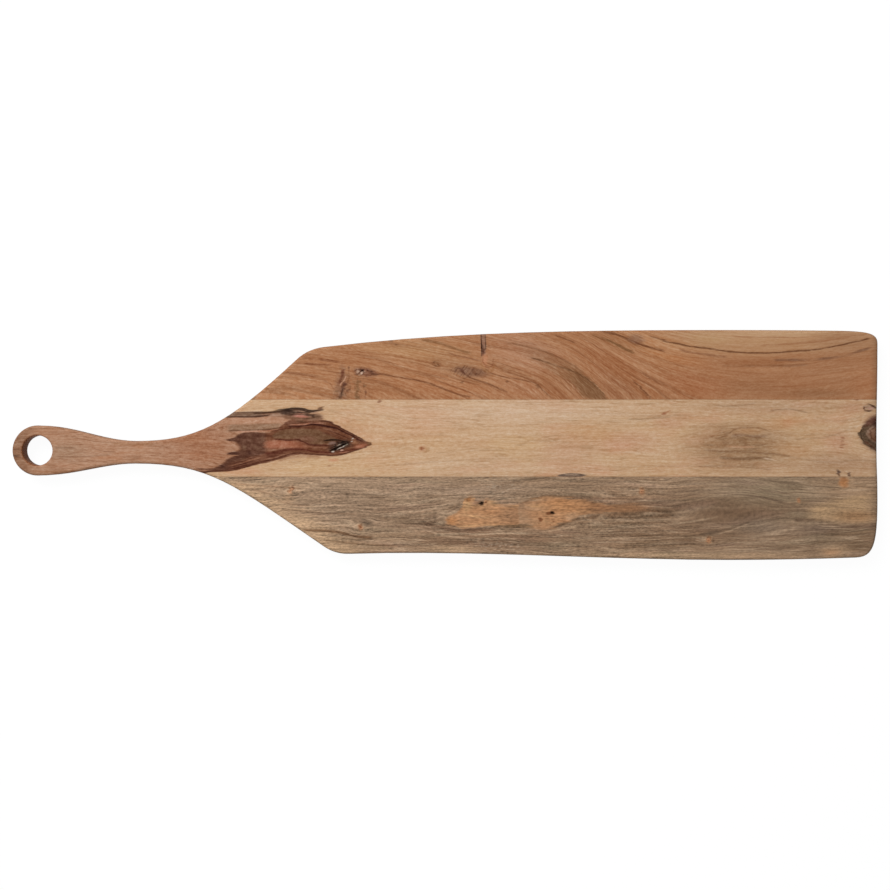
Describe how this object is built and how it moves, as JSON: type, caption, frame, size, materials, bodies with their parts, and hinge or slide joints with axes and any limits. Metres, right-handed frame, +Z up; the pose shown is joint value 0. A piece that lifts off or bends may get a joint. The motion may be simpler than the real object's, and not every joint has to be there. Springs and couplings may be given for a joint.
{
  "type": "paddle serving board",
  "caption": "Long paddle-shaped hardwood serving board, edge-glued from planks, with rounded edges and a slim handle that ends in a ring with a hanging hole.",
  "frame": {"origin": "middle of the underside's bounding box, on the face the board lies on", "axes": "+X from the handle's tip to the blade's end, +Y to the rear edge, +Z up through the thickness"},
  "size_m": [0.914, 0.243, 0.019],
  "materials": {
    "reddish_wood": "sanded and oiled hardwood, reddish brown",
    "pale_wood": "sanded and oiled hardwood, pale tan with dark heartwood streaks and knots",
    "grey_brown_wood": "sanded and oiled hardwood, greyish brown with small knots",
    "wood_glue": "cured food-safe wood glue, flush with the wood"
  },
  "bodies": {
    "root": {"rear_plank": "reddish_wood", "rear_glue_line": "wood_glue", "middle_plank": "pale_wood", "front_glue_line": "wood_glue", "front_plank": "grey_brown_wood"}
  },
  "joints": []
}
